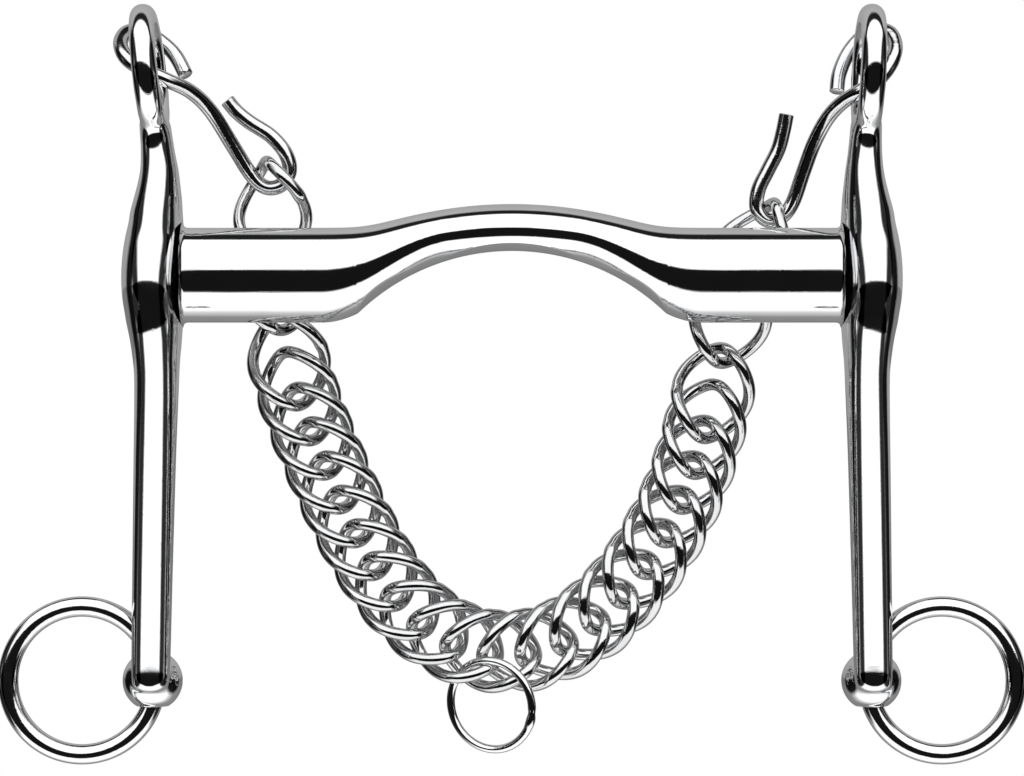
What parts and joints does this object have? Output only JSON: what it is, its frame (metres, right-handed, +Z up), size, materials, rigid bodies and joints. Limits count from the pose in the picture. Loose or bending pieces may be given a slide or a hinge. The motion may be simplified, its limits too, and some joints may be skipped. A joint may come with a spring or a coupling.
{
  "type": "curb bit",
  "caption": "Ported curb bit with fixed swept cheeks, swivelling rein rings, bent-wire curb hooks, a double twisted-link curb chain and a lip-strap ring.",
  "frame": {"origin": "centre of the mouthpiece bar, midway between the cheeks", "axes": "+X along the mouthpiece to the cheek on the right as seen from the front, +Z up the cheeks to the eyes, -Y to the front, where the shanks sweep, and the curb chain hangs at +Y"},
  "size_m": [0.192, 0.0425, 0.1433],
  "materials": {
    "mouthpiece_steel": "mirror-polished stainless steel",
    "cheek_steel": "mirror-polished stainless steel",
    "ring_steel": "polished stainless steel wire",
    "hook_wire": "polished stainless wire with light bending marks",
    "chain_wire": "tumbled and polished stainless wire"
  },
  "bodies": {
    "bit": {"mouthpiece": "mouthpiece_steel", "left_cheek": "cheek_steel", "right_cheek": "cheek_steel"},
    "left_rein": {"left_rein_ring": "ring_steel"},
    "right_rein": {"right_rein_ring": "ring_steel"},
    "left_hook": {"left_curb_hook": "hook_wire"},
    "right_hook": {"right_curb_hook": "hook_wire"},
    "link_01": {"chain_link_01": "chain_wire"},
    "link_02": {"chain_link_02": "chain_wire"},
    "link_03": {"chain_link_03": "chain_wire"},
    "link_04": {"chain_link_04": "chain_wire"},
    "link_05": {"chain_link_05": "chain_wire"},
    "link_06": {"chain_link_06": "chain_wire"},
    "link_07": {"chain_link_07": "chain_wire"},
    "link_08": {"chain_link_08": "chain_wire"},
    "link_09": {"chain_link_09": "chain_wire"},
    "link_10": {"chain_link_10": "chain_wire"},
    "link_11": {"chain_link_11": "chain_wire"},
    "link_12": {"chain_link_12": "chain_wire"},
    "link_13": {"chain_link_13": "chain_wire"},
    "link_14": {"chain_link_14": "chain_wire"},
    "link_15": {"chain_link_15": "chain_wire"},
    "link_16": {"chain_link_16": "chain_wire"},
    "link_17": {"chain_link_17": "chain_wire"},
    "link_18": {"chain_link_18": "chain_wire"},
    "link_19": {"chain_link_19": "chain_wire"},
    "link_20": {"chain_link_20": "chain_wire"},
    "link_21": {"chain_link_21": "chain_wire"},
    "link_22": {"chain_link_22": "chain_wire"},
    "link_23": {"chain_link_23": "chain_wire"},
    "link_24": {"chain_link_24": "chain_wire"},
    "link_25": {"chain_link_25": "chain_wire"},
    "lip_ring": {"lip_strap_ring": "ring_steel"}
  },
  "joints": [
    {"name": "left_rein_swivel", "type": "hinge", "parent": "bit", "child": "left_rein", "pos_m": [-0.0671, -0.0119, -0.076], "axis": [0, 0, -1], "range_deg": [-5, 176]},
    {"name": "right_rein_swivel", "type": "hinge", "parent": "bit", "child": "right_rein", "pos_m": [0.0671, -0.0119, -0.076], "axis": [0, 0, 1], "range_deg": [-5, 176]},
    {"name": "right_hook_swing", "type": "hinge", "parent": "bit", "child": "right_hook", "pos_m": [0.06771, 0, 0.0387], "axis": [1, 0, 0], "range_deg": [0, 60]},
    {"name": "left_hook_swing", "type": "hinge", "parent": "bit", "child": "left_hook", "pos_m": [-0.06883, 0, 0.0387], "axis": [1, 0, 0], "range_deg": [0, 60]},
    {"name": "link_01_rock", "type": "hinge", "parent": "right_hook", "child": "link_01", "pos_m": [-0.0465, 0.014, 0.0135], "axis": [0.1094, 0, -0.994], "range_deg": [-6, 6]},
    {"name": "link_02_rock", "type": "hinge", "parent": "right_hook", "child": "link_02", "pos_m": [-0.04527, 0.014, -0.00135], "axis": [0.0839, 0, -0.9965], "range_deg": [-6, 6]},
    {"name": "link_03_rock", "type": "hinge", "parent": "right_hook", "child": "link_03", "pos_m": [-0.04317, 0.014, -0.01609], "axis": [0.2266, 0, -0.974], "range_deg": [-4, 4]},
    {"name": "link_04_rock", "type": "hinge", "parent": "right_hook", "child": "link_04", "pos_m": [-0.04121, 0.014, -0.02299], "axis": [0.3143, 0, -0.9493], "range_deg": [-4, 4]},
    {"name": "link_05_rock", "type": "hinge", "parent": "right_hook", "child": "link_05", "pos_m": [-0.03873, 0.014, -0.02972], "axis": [0.3711, 0, -0.9286], "range_deg": [-4, 4]},
    {"name": "link_06_rock", "type": "hinge", "parent": "right_hook", "child": "link_06", "pos_m": [-0.03595, 0.014, -0.03634], "axis": [0.3995, 0, -0.9167], "range_deg": [-4, 4]},
    {"name": "link_07_rock", "type": "hinge", "parent": "right_hook", "child": "link_07", "pos_m": [-0.03304, 0.014, -0.0429], "axis": [0.4147, 0, -0.91], "range_deg": [-4, 4]},
    {"name": "link_08_rock", "type": "hinge", "parent": "right_hook", "child": "link_08", "pos_m": [-0.02992, 0.014, -0.04936], "axis": [0.4596, 0, -0.8881], "range_deg": [-4, 4]},
    {"name": "link_09_rock", "type": "hinge", "parent": "right_hook", "child": "link_09", "pos_m": [-0.02637, 0.014, -0.05559], "axis": [0.5356, 0, -0.8444], "range_deg": [-4, 4]},
    {"name": "link_10_rock", "type": "hinge", "parent": "right_hook", "child": "link_10", "pos_m": [-0.02217, 0.014, -0.06141], "axis": [0.6374, 0, -0.7706], "range_deg": [-3, 3]},
    {"name": "link_11_rock", "type": "hinge", "parent": "right_hook", "child": "link_11", "pos_m": [-0.01712, 0.014, -0.0665], "axis": [0.7753, 0, -0.6316], "range_deg": [-3, 3]},
    {"name": "link_12_rock", "type": "hinge", "parent": "right_hook", "child": "link_12", "pos_m": [-0.01103, 0.014, -0.07025], "axis": [0.915, 0, -0.4034], "range_deg": [-3, 0.5]},
    {"name": "link_13_rock", "type": "hinge", "parent": "right_hook", "child": "link_13", "pos_m": [-0.00415, 0.014, -0.07218], "axis": [0.9918, 0, -0.128], "range_deg": [-0.5, 3]},
    {"name": "link_14_rock", "type": "hinge", "parent": "right_hook", "child": "link_14", "pos_m": [0.003, 0.014, -0.07204], "axis": [0.9865, 0, 0.1635], "range_deg": [-3, 3]},
    {"name": "link_15_rock", "type": "hinge", "parent": "right_hook", "child": "link_15", "pos_m": [0.00982, 0.014, -0.06987], "axis": [0.9001, 0, 0.4357], "range_deg": [-3, 3]},
    {"name": "link_16_rock", "type": "hinge", "parent": "right_hook", "child": "link_16", "pos_m": [0.01585, 0.014, -0.066], "axis": [0.7794, 0, 0.6266], "range_deg": [-4, 4]},
    {"name": "link_17_rock", "type": "hinge", "parent": "right_hook", "child": "link_17", "pos_m": [0.02103, 0.014, -0.06105], "axis": [0.6696, 0, 0.7428], "range_deg": [-4, 4]},
    {"name": "link_18_rock", "type": "hinge", "parent": "right_hook", "child": "link_18", "pos_m": [0.0255, 0.014, -0.05544], "axis": [0.5776, 0, 0.8163], "range_deg": [-4, 4]},
    {"name": "link_19_rock", "type": "hinge", "parent": "right_hook", "child": "link_19", "pos_m": [0.02932, 0.014, -0.04937], "axis": [0.4873, 0, 0.8732], "range_deg": [-4, 4]},
    {"name": "link_20_rock", "type": "hinge", "parent": "right_hook", "child": "link_20", "pos_m": [0.03251, 0.014, -0.04294], "axis": [0.4004, 0, 0.9164], "range_deg": [-4, 4]},
    {"name": "link_21_rock", "type": "hinge", "parent": "right_hook", "child": "link_21", "pos_m": [0.03509, 0.014, -0.03625], "axis": [0.3199, 0, 0.9475], "range_deg": [-4, 4]},
    {"name": "link_22_rock", "type": "hinge", "parent": "right_hook", "child": "link_22", "pos_m": [0.03713, 0.014, -0.02937], "axis": [0.2553, 0, 0.9668], "range_deg": [-4, 4]},
    {"name": "link_23_rock", "type": "hinge", "parent": "right_hook", "child": "link_23", "pos_m": [0.03882, 0.014, -0.0224], "axis": [0.2216, 0, 0.9751], "range_deg": [-4, 4]},
    {"name": "link_24_rock", "type": "hinge", "parent": "right_hook", "child": "link_24", "pos_m": [0.04219, 0.014, -0.00788], "axis": [0.2523, 0, 0.9676], "range_deg": [-6, 1]},
    {"name": "link_25_rock", "type": "hinge", "parent": "right_hook", "child": "link_25", "pos_m": [0.047, 0.014, 0.0062], "axis": [0.4133, 0, 0.9106], "range_deg": [-1, 6]},
    {"name": "lip_ring_swing", "type": "hinge", "parent": "link_12", "child": "lip_ring", "pos_m": [-0.00452, 0.01101, -0.07389], "axis": [0.8988, -0.4384, 0], "range_deg": [-1, 0.5]}
  ],
  "couplings": [
    {"joint": "left_hook_swing", "follows": "right_hook_swing", "ratio": 1}
  ]
}
